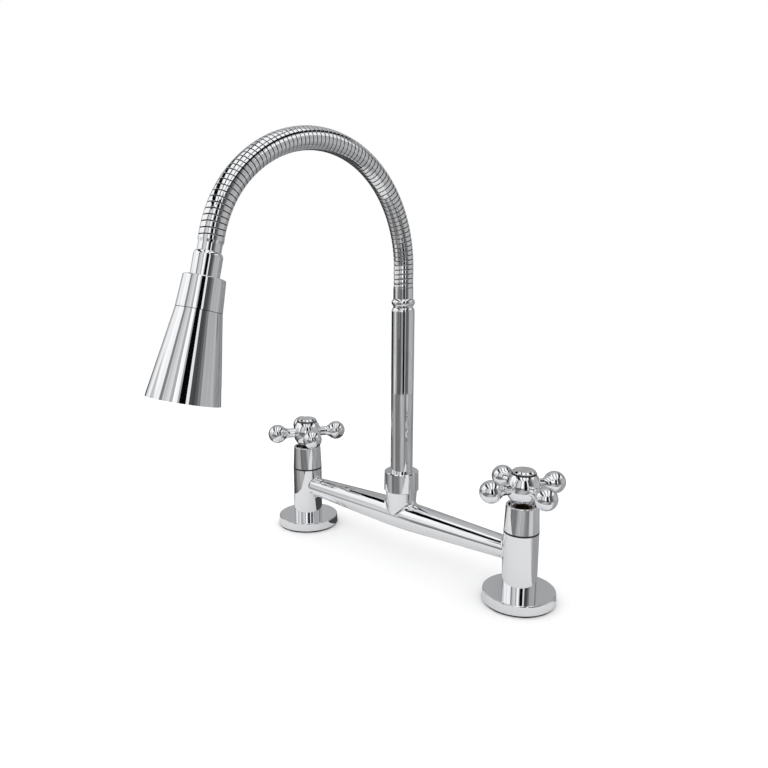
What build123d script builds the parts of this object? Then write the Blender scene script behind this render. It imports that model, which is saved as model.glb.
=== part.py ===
"""Two-hole bridge kitchen mixer: two pillar valves with cross handles, a bridge between them,
and a riser with a self-holding metal hose and a conical spray head.

Millimetres, +Z up. The origin is on the deck, midway between the pillars. The bridge lies along X
and the spout reaches towards -Y. The hot side is at -X and the cold side at +X.
"""

import os
from math import cos, pi, radians, sin, sqrt

from build123d import *

# ---------------------------------------------------------------- layout
pillar_spacing = 203.2  # between the two deck holes, 8 inches
bridge_height = 33.9  # bridge axis above the deck
running_gap = 0.1  # radial and axial play of what turns
seam_gap = 0.3  # shadow line between collar and cone
cut_margin = 1.0  # how far a cutter runs past the surface it cuts

# ---------------------------------------------------------------- deck seat
deck_thickness = 30.0  # sink rim or worktop that the pillar clamps
gasket_thickness = 1.5
gasket_radius = 23.6
flange_height = 6.4
flange_radius = 24.6
flange_top_radius = 24.1
flange_edge = 0.8
flange_wall = 1.8
flange_centre_wall = 4.0
tail_radius = 10.4775  # G 1/2 thread, over its crests
tail_clearance = 0.4
tail_free_length = 12.0  # thread left under the back nut for the supply hose
tail_groove_width = 2.0
tail_groove_depth = 1.2
tail_chamfer = 1.0
inlet_radius = 6.5
washer_radius = 17.5
washer_thickness = 2.0
back_nut_flats = 30.0
back_nut_height = 8.0

# ---------------------------------------------------------------- pillar
pillar_radius = 11.57
pillar_top = 48.6
chamber_radius = 9.0  # also the thread that the cartridge screws into
seat_height = 27.0
port_radius = 6.05
port_clearance = 0.05

# ---------------------------------------------------------------- ceramic cartridge
seal_thickness = 2.0
barrel_radius = 7.7
barrel_cavity_radius = 6.8
cartridge_thread_length = 8.0
disc_thickness = 2.5
disc_clearance = 0.1
disc_face_gap = 0.05
disc_port_radius = 1.9
disc_port_offset = 3.6
disc_notch_width = 4.2
window_width = 7.0
window_height = 4.2
cartridge_hex_flats = 18.0
cartridge_hex_height = 3.4
cartridge_neck_radius = 7.0
cartridge_neck_height = 8.0
spindle_radius = 4.0
spindle_foot_radius = 6.0
spindle_foot_height = 3.0
drive_tang_width = 3.0
drive_tang_depth = 1.0
oring_section = 1.3
stem_oring_rise = 2.0  # its middle above the hexagon
spline_teeth = 20
spline_depth = 0.35
spline_drop = 7.0  # the teeth start this far under the handle
spline_grip = 6.5  # and reach this far into it

# ---------------------------------------------------------------- skirt over the cartridge
skirt_gap = 0.7  # open groove between pillar and skirt
skirt_height = 17.9
skirt_top_radius = 10.8
skirt_wall = 1.05
skirt_shelf_start = 7.0
skirt_shelf_thickness = 3.0
skirt_mouth_radius = 9.1
skirt_lip = 0.8

# ---------------------------------------------------------------- cross handle
handle_gap = 0.4  # skirt to hub, where the stem shows
hub_drop = 11.2  # hub below the middle of the arms
hub_rise = 8.8  # hub above it
hub_bottom_radius = 5.3
hub_radius = 11.3
hub_top_radius = 8.1
arm_count = 4
arm_root_radius = 4.7
arm_neck_radius = 3.7
knob_radius = 7.42
knob_reach = 24.27
knob_hollow = 7.0  # radius of the hollow between neck and knob
hot_handle_angle = 57.1
cold_handle_angle = 64.3
screw_radius = 2.0
screw_head_radius = 3.6
screw_head_height = 2.5
screw_engagement = 6.0
screw_slot_width = 1.0
screw_slot_depth = 1.2
cap_socket_radius = 5.2
cap_socket_depth = 5.9
cap_plug_depth = 2.6
cap_gap = 0.3  # open groove between hub and cap
cap_radius = 7.7
cap_top_radius = 6.6
cap_rim_height = 1.5
cap_height = 2.9
cap_dome = 0.4

# ---------------------------------------------------------------- bridge
bridge_middle_radius = 10.5
bridge_middle_reach = 18.0  # half length of the rounded middle, before the straight tapers
bridge_end_radius = 7.1
bridge_bore_radius = 5.0
bridge_spigot_depth = 2.2
bridge_fillet = 2.0
boss_overhang = 1.15  # how much wider than the arms the boss is at its top
boss_foot_inset = 0.4  # how much slimmer than the arms it is at their axis
boss_fillet = 3.0
boss_height = 19.2  # above the bridge axis
boss_thread_radius = 10.9
boss_thread_length = 9.9
socket_radius = 9.3
socket_depth = 17.0
spout_inlet_radius = 5.8

# ---------------------------------------------------------------- spout nut and swivel bush
spout_nut_radius = 12.75
spout_nut_top_radius = 12.55
spout_nut_height = 14.7
spout_nut_edge = 0.5
bush_clearance = 0.08
bush_lift = 0.5
bush_collar_radius = 9.9
bush_collar_height = 1.5
bush_spigot_length = 15.0
slip_ring_thickness = 1.0
bush_oring_section = 1.84
bush_oring_spacing = 7.0
bush_oring_first = 4.5  # above the floor of the socket

# ---------------------------------------------------------------- riser
riser_radius = 8.13
riser_wall = 1.0
riser_length = 123.1
riser_rim_radius = 7.35  # top end, drawn in round the ferrule
riser_shoulder = 2.4  # height of the drawn-in stretch
ferrule_groove_radius = 7.0
ferrule_groove_length = 1.3
ferrule_bead_length = 5.0
ferrule_bead_radius = 8.25
ferrule_radius = 7.0
ferrule_sleeve_length = 7.6
ferrule_plug_length = 10.0

# ---------------------------------------------------------------- metal hose
hose_radius = 6.9
hose_groove_radius = 6.4
hose_bore_radius = 5.3
liner_radius = 4.9
liner_bore_radius = 3.4
hose_first_straight = 13.5
hose_bend_radii = (77.4, 86.5, 70.5)  # the three bends of the arch, from the riser to the head
hose_bend_angles = (71.4, 60.8, 33.2)
hose_last_straight = 3.0
hose_sections = 7
ribs_per_section = 11
rib_edge = 0.3  # length of each sloping flank of a rib
rib_groove = 0.3  # flat floor between two ribs
flex_gap = 1.2  # open groove where two sections hinge
liner_overlap = 2.0  # how far a liner reaches past its hinge into the next section
liner_gap = 1.0
liner_grip = 6.0  # liner held in the end ferrules
shortest_run = 0.01  # a stretch of centreline below this is left out

# ---------------------------------------------------------------- spray head, along its own axis
neck_radius = 6.4
neck_flare = 0.4
neck_flare_length = 1.5
neck_length = 5.8
shoulder_length = 2.4
head_ferrule_radius = 7.8
head_ferrule_length = 11.1
collar_top_radius = 11.3
collar_radius = 12.4
collar_length = 17.6
collar_edge = 0.8
collar_lip = 3.5
collar_bore_radius = 9.4
swivel_flange_radius = 9.0
swivel_flange_height = 2.0
head_washer_thickness = 1.5
outlet_bore_radius = 4.0
core_neck_radius = 7.0
core_neck_length = 16.6
core_neck_extra = 9.0
clip_radius = 8.6
clip_thickness = 1.2
clip_groove_depth = 0.7
clip_opening = 11.2
cone_radius = 19.7
cone_length = 48.5
cone_wall = 1.3
cone_roof = 3.0
cone_hub_radius = 9.0
face_ledge = 1.3  # how far the shell steps in behind the nozzle plate
face_inset = 1.2
face_thickness = 3.0
face_radius = 17.2
face_sleeve_wall = 1.2
face_sleeve_clearance = 0.3
nozzle_count = 14
nozzle_radius = 0.8
nozzle_circle = 12.6
jet_radius = 5.0
jet_bore_radius = 3.2

# ---------------------------------------------------------------- worked out from the sizes above
half_spacing = pillar_spacing / 2
boss_radius = bridge_middle_radius + boss_overhang
flange_top = gasket_thickness + flange_height
washer_top = -deck_thickness
nut_top = washer_top - washer_thickness
nut_bottom = nut_top - back_nut_height
tail_bottom = nut_bottom - tail_groove_width - tail_free_length
lower_disc_bottom = seat_height + seal_thickness
lower_disc_top = lower_disc_bottom + disc_thickness
upper_disc_bottom = lower_disc_top + disc_face_gap
spindle_bottom = upper_disc_bottom + disc_thickness
spindle_foot_top = spindle_bottom + spindle_foot_height
hex_top = pillar_top + cartridge_hex_height
cartridge_top = hex_top + cartridge_neck_height
stem_oring_height = hex_top + stem_oring_rise
skirt_bottom = pillar_top + skirt_gap
skirt_top = skirt_bottom + skirt_height
hub_bottom = skirt_top + handle_gap
arm_height = hub_bottom + hub_drop
hub_top = arm_height + hub_rise
spline_start = hub_bottom - spline_drop
spline_end = hub_bottom + spline_grip
screw_head_bottom = hub_top - cap_socket_depth
boss_top = bridge_height + boss_height
boss_thread_top = boss_top + boss_thread_length
socket_floor = boss_thread_top - socket_depth
collar_start = boss_thread_top + running_gap
riser_bottom = collar_start + bush_collar_height
slip_ring_top = riser_bottom + slip_ring_thickness
nut_lip_bottom = slip_ring_top + running_gap
spout_nut_top = boss_top + spout_nut_height
bush_radius = socket_radius - bush_clearance
riser_top = riser_bottom + riser_length
ferrule_bead_bottom = riser_top + ferrule_groove_length
ferrule_bead_top = ferrule_bead_bottom + ferrule_bead_length
hose_bottom = ferrule_bead_top + ferrule_sleeve_length

hose_runs = [(hose_first_straight, None)]
hose_runs += [(radians(a) * r, r) for a, r in zip(hose_bend_angles, hose_bend_radii)]
hose_runs += [(hose_last_straight, None)]
hose_length = sum(length for length, bend in hose_runs)
section_length = hose_length / hose_sections


# ---------------------------------------------------------------- helpers
def disc(radius, low, high):
    """Plain round bar between two heights on the Z axis."""
    return Pos(0, 0, low) * Cylinder(radius, high - low, align=(Align.CENTER, Align.CENTER, Align.MIN))


def ring(outer, inner, low, high):
    """Round tube between two heights on the Z axis."""
    return disc(outer, low, high) - disc(inner, low, high)


def turned(*outline):
    """Solid turned on the Z axis from a closed outline of edges in radius and height."""
    return revolve(Plane.XZ * make_face(list(outline)), Axis.Z)


def hexagon(flats, low, high):
    """Hexagonal bar, given across its flats."""
    corner_radius = flats / sqrt(3)
    return Pos(0, 0, low) * extrude(RegularPolygon(corner_radius, 6), high - low)


def o_ring(middle_radius, section, height):
    """Seal ring squeezed in its groove, so its round section has eight flats."""
    section_outline = RegularPolygon(section / 2, 8, major_radius=False, rotation=22.5)
    return revolve(Plane.XZ * Pos(middle_radius, height) * section_outline, Axis.Z)


def spline_bar(low, high):
    """Toothed bar that carries the handle, its teeth between two radii."""
    tip, root = spindle_radius, spindle_radius - spline_depth
    half_pitch = pi / spline_teeth
    corners = []
    for tooth in range(spline_teeth):
        for radius, angle in ((tip, 2 * tooth * half_pitch), (root, (2 * tooth + 1) * half_pitch)):
            corners.append((radius * cos(angle), radius * sin(angle)))
    return Pos(0, 0, low) * extrude(make_face(Polyline(*corners, close=True)), high - low)


def hose_at(distance):
    """Plane square to the hose at a distance along it, its X axis always along the bridge."""
    y, z, heading = 0.0, hose_bottom, 0.0
    left = distance
    for index, (length, bend) in enumerate(hose_runs):
        last = index == len(hose_runs) - 1
        step = left if last else min(left, length)
        if bend is None:
            y -= step * sin(heading)
            z += step * cos(heading)
        else:
            turn = step / bend
            y += bend * (cos(heading + turn) - cos(heading))
            z += bend * (sin(heading + turn) - sin(heading))
            heading += turn
        left -= step
        if left <= 0:
            break
    return Plane(origin=(0, y, z), x_dir=(1, 0, 0), z_dir=(0, -sin(heading), cos(heading)))


def hose_path(start, end):
    """Centreline of the hose between two distances, as lines and tangent arcs."""
    edges = []
    passed = 0.0
    for index, (length, bend) in enumerate(hose_runs):
        low = start if index == 0 else max(start, passed)
        high = end if index == len(hose_runs) - 1 else min(end, passed + length)
        passed += length
        if high - low < shortest_run:
            continue
        first, middle, last = (hose_at(d).origin for d in (low, (low + high) / 2, high))
        edges.append(Line(first, last) if bend is None else ThreePointArc(first, middle, last))
    return Wire(edges)


def hose_bar(radius, start, end):
    """Round bar that follows the hose."""
    return sweep(hose_at(start) * Circle(radius), path=hose_path(start, end))


# ---------------------------------------------------------------- deck seat and pillar
def gasket():
    return ring(gasket_radius, tail_radius + tail_clearance, 0, gasket_thickness)


def flange():
    """Round cover plate with a hollow underside and a solid middle under the pillar."""
    under = flange_top - flange_wall
    middle = pillar_radius + flange_centre_wall
    rim = flange_radius - flange_wall
    outline = Polyline(
        (tail_radius + tail_clearance, gasket_thickness),
        (middle, gasket_thickness),
        (middle, under),
        (rim, under),
        (rim, gasket_thickness),
        (flange_radius, gasket_thickness),
        (flange_top_radius, flange_top),
        (tail_radius + tail_clearance, flange_top),
        close=True,
    )
    body = turned(outline)
    edge = body.edges().filter_by(GeomType.CIRCLE).group_by(Axis.Z)[-1].sort_by(SortBy.RADIUS)[-1]
    return fillet(edge, flange_edge)


def pillar(port_direction):
    """Valve body cast in one piece with its threaded tail, and a port towards the bridge."""
    outside = disc(pillar_radius, flange_top, pillar_top) + disc(tail_radius, tail_bottom, flange_top)
    outside = chamfer(outside.edges().group_by(Axis.Z)[0], tail_chamfer)
    groove_floor = tail_radius - tail_groove_depth
    groove = ring(tail_radius + cut_margin, groove_floor, nut_bottom - tail_groove_width, nut_bottom)
    water_way = disc(inlet_radius, tail_bottom, seat_height) + disc(chamber_radius, seat_height, pillar_top)
    port = Rot(0, 90 * port_direction, 0) * disc(port_radius, 0, pillar_radius + cut_margin)
    return outside - groove - water_way - Pos(0, 0, bridge_height) * port


def deck_washer():
    return ring(washer_radius, tail_radius + tail_clearance, nut_top, washer_top)


def back_nut():
    return hexagon(back_nut_flats, nut_bottom, nut_top) - disc(tail_radius, nut_bottom, nut_top)


# ---------------------------------------------------------------- cartridge
def seat_seal():
    return ring(barrel_radius, inlet_radius, seat_height, lower_disc_bottom)


def cartridge():
    """Brass cartridge body: disc chamber with side windows, thread, hexagon and neck."""
    thread_bottom = pillar_top - cartridge_thread_length
    cavity_top = spindle_foot_top + running_gap
    body = disc(barrel_radius, lower_disc_bottom, thread_bottom)
    body += disc(chamber_radius, thread_bottom, pillar_top)
    body += hexagon(cartridge_hex_flats, pillar_top, hex_top)
    body += disc(cartridge_neck_radius, hex_top, cartridge_top)
    body -= disc(barrel_cavity_radius, lower_disc_bottom, cavity_top)
    body -= disc(spindle_radius + running_gap, cavity_top, cartridge_top)
    window = Box(window_width, 2 * (barrel_radius + cut_margin), window_height)
    return body - Pos(0, 0, cavity_top - window_height / 2) * window


def lower_disc():
    """Fixed ceramic disc with two ports."""
    radius = barrel_cavity_radius - disc_clearance
    plate = disc(radius, lower_disc_bottom, lower_disc_top)
    port = disc(disc_port_radius, lower_disc_bottom, lower_disc_top)
    for side in (-1, 1):
        plate -= Pos(side * disc_port_offset, 0, 0) * port
    return plate


def drive_tang():
    """Key under the spindle that turns the upper disc."""
    bar = Box(2 * spindle_foot_radius, drive_tang_width, drive_tang_depth)
    bar = Pos(0, 0, spindle_bottom - drive_tang_depth / 2) * bar
    return bar & disc(spindle_foot_radius, spindle_bottom - drive_tang_depth, spindle_bottom)


def upper_disc():
    """Turning ceramic disc: two notches that come over the ports after a quarter turn."""
    radius = barrel_cavity_radius - disc_clearance
    plate = disc(radius, upper_disc_bottom, spindle_bottom)
    notch = Box(disc_notch_width, radius, disc_thickness)
    for side in (-1, 1):
        middle = side * (disc_port_offset - disc_port_radius + radius / 2)
        plate -= Pos(0, middle, (upper_disc_bottom + spindle_bottom) / 2) * notch
    return plate - drive_tang()


def spindle():
    """Brass stem: drive key and foot below, O-ring groove, toothed head with a tapped hole."""
    body = drive_tang() + disc(spindle_foot_radius, spindle_bottom, spindle_foot_top)
    body += disc(spindle_radius, spindle_foot_top, spline_start)
    body += spline_bar(spline_start, spline_end)
    groove_floor = spindle_radius + running_gap / 2 - oring_section
    groove_bottom = stem_oring_height - oring_section / 2
    body -= ring(spindle_radius + cut_margin, groove_floor, groove_bottom, groove_bottom + oring_section)
    return body - disc(screw_radius, spline_end - 2 * screw_engagement, spline_end)


def stem_oring():
    outer = spindle_radius + running_gap / 2
    return o_ring(outer - oring_section / 2, oring_section, stem_oring_height)


def skirt():
    """Polished sleeve screwed onto the cartridge neck, open at the top round the stem."""
    shelf_bottom = skirt_bottom + skirt_shelf_start
    shelf_top = shelf_bottom + skirt_shelf_thickness
    inner = pillar_radius - skirt_wall
    outline = Polyline(
        (inner, skirt_bottom),
        (pillar_radius, skirt_bottom),
        (skirt_top_radius, skirt_top),
        (skirt_mouth_radius, skirt_top),
        (skirt_mouth_radius, shelf_top),
        (cartridge_neck_radius, shelf_top),
        (cartridge_neck_radius, shelf_bottom),
        (inner, shelf_bottom),
        close=True,
    )
    body = turned(outline)
    return fillet(body.edges().filter_by(GeomType.CIRCLE).group_by(Axis.Z)[-1], skirt_lip)


# ---------------------------------------------------------------- handle
def handle_arm():
    """One arm along X: it thins from the hub to a neck and is hollowed into its round knob."""
    rise = arm_neck_radius + knob_hollow
    reach = knob_radius + knob_hollow
    run = sqrt(reach**2 - rise**2)
    neck = (knob_reach - run, arm_neck_radius)
    meet = (knob_reach - run * knob_radius / reach, rise * knob_radius / reach)
    tip = (knob_reach + knob_radius, 0)
    root = (0, arm_root_radius)
    outline = [
        TangentArc(neck, root, tangent=(-1, 0)),
        TangentArc(neck, meet, tangent=(1, 0)),
        ThreePointArc(meet, (knob_reach, knob_radius), tip),
        Line(tip, (0, 0)),
        Line((0, 0), root),
    ]
    return revolve(Plane.XZ * make_face(outline), Axis.X)


def handle(angle):
    """Cross handle: turned hub with four arms, broached for the spindle."""
    shoulder = (hub_radius, arm_height)
    top, bottom = (hub_top_radius, hub_top), (hub_bottom_radius, hub_bottom)
    hub = turned(
        TangentArc(shoulder, top, tangent=(0, 1)),
        TangentArc(shoulder, bottom, tangent=(0, -1)),
        Line(bottom, (0, hub_bottom)),
        Line((0, hub_bottom), (0, hub_top)),
        Line((0, hub_top), top),
    )
    for index in range(arm_count):
        hub += Pos(0, 0, arm_height) * Rot(0, 0, index * 360 / arm_count) * handle_arm()
    hub = Rot(0, 0, angle) * hub
    hub -= spline_bar(hub_bottom, spline_end)
    hub -= disc(screw_radius, spline_end, screw_head_bottom)
    return hub - disc(cap_socket_radius, screw_head_bottom, hub_top)


def handle_screw():
    head_top = screw_head_bottom + screw_head_height
    body = disc(screw_radius, spline_end - screw_engagement, screw_head_bottom)
    body += disc(screw_head_radius, screw_head_bottom, head_top)
    slot = Box(2 * screw_head_radius, screw_slot_width, screw_slot_depth)
    slot += Box(screw_slot_width, 2 * screw_head_radius, screw_slot_depth)
    return body - Pos(0, 0, head_top - screw_slot_depth / 2) * slot


def index_cap():
    """Domed button with a bevelled rim and a plug that snaps into the hub."""
    rim_bottom = hub_top + cap_gap
    rim_top = rim_bottom + cap_rim_height
    top = rim_bottom + cap_height
    edge = (cap_top_radius, top - cap_dome)
    dome = TangentArc((0, top), edge, tangent=(1, 0))
    floor = hub_top - cap_plug_depth
    outline = Polyline(
        (0, top),
        (0, floor),
        (cap_socket_radius, floor),
        (cap_socket_radius, rim_bottom),
        (cap_radius, rim_bottom),
        (cap_radius, rim_top),
        edge,
    )
    return turned(outline, dome)


# ---------------------------------------------------------------- bridge
def bridge_arms():
    """Both arms as one turned bar along X: straight tapers that meet in a rounded middle."""
    slope = (bridge_middle_radius - bridge_end_radius) / (half_spacing - bridge_middle_reach / 2)
    start = (bridge_middle_reach, bridge_middle_radius - slope * bridge_middle_reach / 2)
    end = (half_spacing, bridge_end_radius)
    outline = [
        Line(end, start),
        ThreePointArc(start, (0, bridge_middle_radius), (-start[0], start[1])),
        Polyline((-start[0], start[1]), (-end[0], end[1]), (-end[0], 0), (end[0], 0), end),
    ]
    return revolve(Plane.XZ * make_face(outline), Axis.X)


def meeting_edges(body, low, high):
    """Curves where bars meet, told by how far their middle lies from the spout's axis."""
    free = [e for e in body.edges() if e.geom_type not in (GeomType.CIRCLE, GeomType.LINE)]
    return [e for e in free if low <= abs(e.center().X) <= high]


def bridge():
    """One casting: two tapered arms coped and filleted to the pillars, and the boss for the spout."""
    boss = Polyline(
        (0, 0),
        (bridge_middle_radius - boss_foot_inset, 0),
        (boss_radius, boss_top - bridge_height),
        (0, boss_top - bridge_height),
        close=True,
    )
    body = bridge_arms() + turned(boss)
    body = fillet(meeting_edges(body, 0, boss_radius), boss_fillet)
    pillars = [
        Pos(side * half_spacing, 0, -bridge_height) * disc(pillar_radius, flange_top, pillar_top)
        for side in (-1, 1)
    ]
    body = body + pillars[0] + pillars[1]
    near_pillar = half_spacing - pillar_radius - bridge_fillet
    body = fillet(meeting_edges(body, near_pillar, half_spacing), bridge_fillet)
    body = body - pillars[0] - pillars[1]
    spigot_length = half_spacing - pillar_radius + bridge_spigot_depth
    body += Rot(0, 90, 0) * disc(port_radius - port_clearance, -spigot_length, spigot_length)
    body -= Rot(0, 90, 0) * disc(bridge_bore_radius, -half_spacing, half_spacing)
    body = Pos(0, 0, bridge_height) * body
    body += disc(boss_thread_radius, boss_top, boss_thread_top)
    body -= disc(spout_inlet_radius, bridge_height, socket_floor)
    return body - disc(socket_radius, socket_floor, boss_thread_top)


# ---------------------------------------------------------------- spout nut and swivel bush
def spout_nut():
    """Plain round nut whose lip keeps the riser down on the boss."""
    lip_bore = riser_radius + running_gap
    outline = Polyline(
        (boss_thread_radius, boss_top),
        (spout_nut_radius, boss_top),
        (spout_nut_top_radius, spout_nut_top),
        (lip_bore, spout_nut_top),
        (lip_bore, nut_lip_bottom),
        (boss_thread_radius, nut_lip_bottom),
        close=True,
    )
    body = turned(outline)
    rims = body.edges().filter_by(GeomType.CIRCLE).sort_by(SortBy.RADIUS)[-2:]
    return chamfer(rims, spout_nut_edge)


def bush_oring_heights():
    first = socket_floor + bush_oring_first
    return [first + index * bush_oring_spacing for index in range(2)]


def riser_bush():
    """Swivel bush: it turns in the boss, carries two O-rings and plugs into the riser."""
    body = disc(bush_radius, socket_floor + bush_lift, collar_start)
    body += disc(bush_collar_radius, collar_start, riser_bottom)
    body += disc(riser_radius - riser_wall, riser_bottom, riser_bottom + bush_spigot_length)
    groove_floor = socket_radius - bush_clearance / 2 - bush_oring_section
    for height in bush_oring_heights():
        bottom = height - bush_oring_section / 2
        body -= ring(bush_radius + cut_margin, groove_floor, bottom, bottom + bush_oring_section)
    return body - disc(spout_inlet_radius, socket_floor, riser_bottom + bush_spigot_length)


def riser_orings():
    middle = socket_radius - bush_clearance / 2 - bush_oring_section / 2
    return Compound([o_ring(middle, bush_oring_section, height) for height in bush_oring_heights()])


def slip_ring():
    return ring(bush_collar_radius, riser_radius, riser_bottom, slip_ring_top)


# ---------------------------------------------------------------- riser
def riser():
    """Tube whose top end is drawn in to meet the ferrule."""
    bore = riser_radius - riser_wall
    edge = (riser_radius, riser_top - riser_shoulder)
    rim = (riser_rim_radius, riser_top)
    wall = Polyline(rim, (bore, riser_top), (bore, riser_bottom), (riser_radius, riser_bottom), edge)
    return turned(TangentArc(edge, rim, tangent=(0, 1)), wall)


def riser_ferrule():
    """End piece of the hose: plug in the riser, groove, bead and a plain sleeve for the liner."""
    plug = riser_radius - riser_wall
    liner_seat = hose_bottom - liner_grip
    bead_middle = (ferrule_bead_bottom + ferrule_bead_top) / 2
    below = Polyline(
        (liner_bore_radius, riser_top - ferrule_plug_length),
        (plug, riser_top - ferrule_plug_length),
        (plug, riser_top),
        (ferrule_groove_radius, riser_top),
        (ferrule_groove_radius, ferrule_bead_bottom),
    )
    bead = ThreePointArc(
        (ferrule_groove_radius, ferrule_bead_bottom),
        (ferrule_bead_radius, bead_middle),
        (ferrule_radius, ferrule_bead_top),
    )
    above = Polyline(
        (ferrule_radius, ferrule_bead_top),
        (ferrule_radius, hose_bottom),
        (liner_radius, hose_bottom),
        (liner_radius, liner_seat),
        (liner_bore_radius, liner_seat),
        (liner_bore_radius, riser_top - ferrule_plug_length),
    )
    return turned(below, bead, above)


# ---------------------------------------------------------------- metal hose
def hinge_distance(index):
    """Distance along the hose to the hinge after a section, counted from 1."""
    return index * section_length


def hose_casing(index):
    """Strip-wound casing of one section, counted from 1: a row of ribs round a bore."""
    start = hinge_distance(index - 1) + (flex_gap / 2 if index > 1 else 0)
    end = hinge_distance(index) - (flex_gap / 2 if index < hose_sections else 0)
    pitch = (end - start + rib_groove) / ribs_per_section
    rib_circles = []
    for rib in range(ribs_per_section):
        low = start + rib * pitch
        high = low + pitch - rib_groove
        rib_circles.append(hose_at(low) * Circle(hose_groove_radius))
        rib_circles.append(hose_at(low + rib_edge) * Circle(hose_radius))
        rib_circles.append(hose_at(high - rib_edge) * Circle(hose_radius))
        rib_circles.append(hose_at(high) * Circle(hose_groove_radius))
    return loft(rib_circles, ruled=True) - hose_bar(hose_bore_radius, start, end)


def hose_liner(index):
    """Rubber water tube inside one section, reaching a little into the next."""
    start = hinge_distance(index - 1) + liner_overlap + liner_gap if index > 1 else -liner_grip
    end = hinge_distance(index) + (liner_overlap if index < hose_sections else liner_grip)
    return hose_bar(liner_radius, start, end) - hose_bar(liner_bore_radius, start, end)


# ---------------------------------------------------------------- spray head
shoulder_start = neck_length
barrel_start = shoulder_start + shoulder_length
collar_top_at = barrel_start + head_ferrule_length
collar_end = collar_top_at + collar_length
flange_start = collar_top_at + collar_lip + running_gap
flange_end = flange_start + swivel_flange_height
core_start = flange_end + running_gap + head_washer_thickness
cone_start = collar_end + seam_gap
cone_end = cone_start + cone_length
neck_end = cone_start + core_neck_length + core_neck_extra
clip_start = cone_start + core_neck_length + running_gap
face_start = cone_end - face_inset - face_thickness


def head_ferrule():
    """Hose end that the head swivels on: neck, shoulder, barrel and a captive flange."""
    neck = Polyline(
        (liner_radius, 0),
        (neck_radius + neck_flare, 0),
        (neck_radius, neck_flare_length),
        (neck_radius, shoulder_start),
    )
    barrel_top = (head_ferrule_radius, barrel_start)
    shoulder = TangentArc(barrel_top, (neck_radius, shoulder_start), tangent=(0, -1))
    barrel = Polyline(
        barrel_top,
        (head_ferrule_radius, flange_start),
        (swivel_flange_radius, flange_start),
        (swivel_flange_radius, flange_end),
        (liner_bore_radius, flange_end),
        (liner_bore_radius, liner_grip),
        (liner_radius, liner_grip),
        (liner_radius, 0),
    )
    return turned(neck, shoulder, barrel)


def head_collar():
    """Sleeve nut round the ferrule: its lip carries the head and it is threaded onto the core."""
    lip_bore = head_ferrule_radius + running_gap
    lip_end = collar_top_at + collar_lip
    outline = Polyline(
        (lip_bore, collar_top_at),
        (collar_top_radius, collar_top_at),
        (collar_radius, collar_end),
        (collar_bore_radius, collar_end),
        (collar_bore_radius, lip_end),
        (lip_bore, lip_end),
        close=True,
    )
    body = turned(outline)
    rim = body.edges().filter_by(GeomType.CIRCLE).group_by(Axis.Z)[0].sort_by(SortBy.RADIUS)[-1]
    return fillet(rim, collar_edge)


def head_washer():
    return ring(swivel_flange_radius, outlet_bore_radius, flange_end + running_gap, core_start)


def spray_core():
    """Inner tube of the head: threaded top in the collar, neck that the cone turns on."""
    body = disc(collar_bore_radius, core_start, collar_end)
    body += disc(core_neck_radius, collar_end, neck_end)
    groove_floor = core_neck_radius - clip_groove_depth
    body -= ring(core_neck_radius + cut_margin, groove_floor, clip_start, clip_start + clip_thickness)
    return body - disc(outlet_bore_radius, core_start, neck_end)


def core_clip():
    """Open spring clip in the neck's groove that keeps the cone on."""
    body = ring(clip_radius, core_neck_radius - clip_groove_depth, clip_start, clip_start + clip_thickness)
    opening = Box(clip_radius, clip_opening, clip_thickness)
    return body - Pos(core_neck_radius, 0, clip_start + clip_thickness / 2) * opening


def cone_radius_at(distance):
    share = (distance - cone_start) / cone_length
    return collar_radius + share * (cone_radius - collar_radius)


def spray_cone():
    """Conical shell with a roof and a hub that turn on the core's neck, and a ledge for the face."""
    roof_end = cone_start + cone_roof
    hub_end = cone_start + core_neck_length
    bore = core_neck_radius + running_gap
    outline = Polyline(
        (bore, cone_start),
        (collar_radius, cone_start),
        (cone_radius, cone_end),
        (face_radius, cone_end),
        (face_radius, face_start),
        (cone_radius_at(face_start) - cone_wall - face_ledge, face_start),
        (cone_radius_at(face_start) - cone_wall - face_ledge, face_start - cone_wall),
        (cone_radius_at(face_start - cone_wall) - cone_wall, face_start - cone_wall),
        (cone_radius_at(roof_end) - cone_wall, roof_end),
        (cone_hub_radius, roof_end),
        (cone_hub_radius, hub_end),
        (bore, hub_end),
        close=True,
    )
    return turned(outline)


def spray_face():
    """Nozzle plate with a sleeve that takes the water from the core."""
    sleeve_start = neck_end - core_neck_extra / 2
    sleeve_bore = core_neck_radius + face_sleeve_clearance
    face_end = face_start + face_thickness
    body = disc(face_radius, face_start, face_end)
    body += ring(sleeve_bore + face_sleeve_wall, sleeve_bore, sleeve_start, face_start)
    body -= disc(jet_radius, face_start, face_end)
    nozzle = disc(nozzle_radius, face_start, face_end)
    for index in range(nozzle_count):
        body -= Rot(0, 0, index * 360 / nozzle_count) * Pos(nozzle_circle, 0, 0) * nozzle
    return body


def jet_insert():
    """Centre outlet pressed into the face."""
    return ring(jet_radius, jet_bore_radius, face_start, face_start + face_thickness)


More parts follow.
